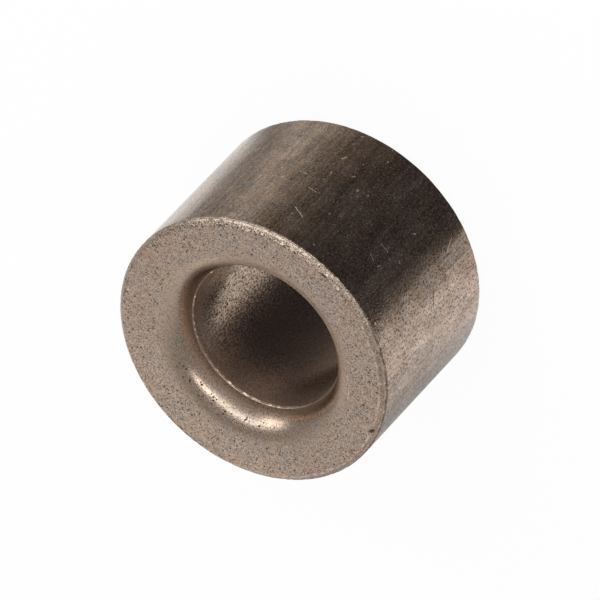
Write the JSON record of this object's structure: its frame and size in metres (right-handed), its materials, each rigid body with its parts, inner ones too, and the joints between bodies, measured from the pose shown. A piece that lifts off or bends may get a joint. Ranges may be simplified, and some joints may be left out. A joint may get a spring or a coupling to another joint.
{
  "type": "pilot bushing",
  "caption": "Plain cylindrical sintered bronze bushing with a bell-mouthed bore, pressed into a shaft end to carry and centre the tip of another shaft.",
  "frame": {"origin": "centre of the back end, on the bore axis", "axes": "+Z along the bore axis, from the back end to the bell mouth; +X and +Y are any two directions across it"},
  "size_m": [0.0278, 0.0278, 0.0188],
  "materials": {
    "bronze": "sintered bronze: matt porous faces, burnished outer wall, mouth and bore"
  },
  "bodies": {
    "root": {"bushing": "bronze"}
  },
  "joints": []
}
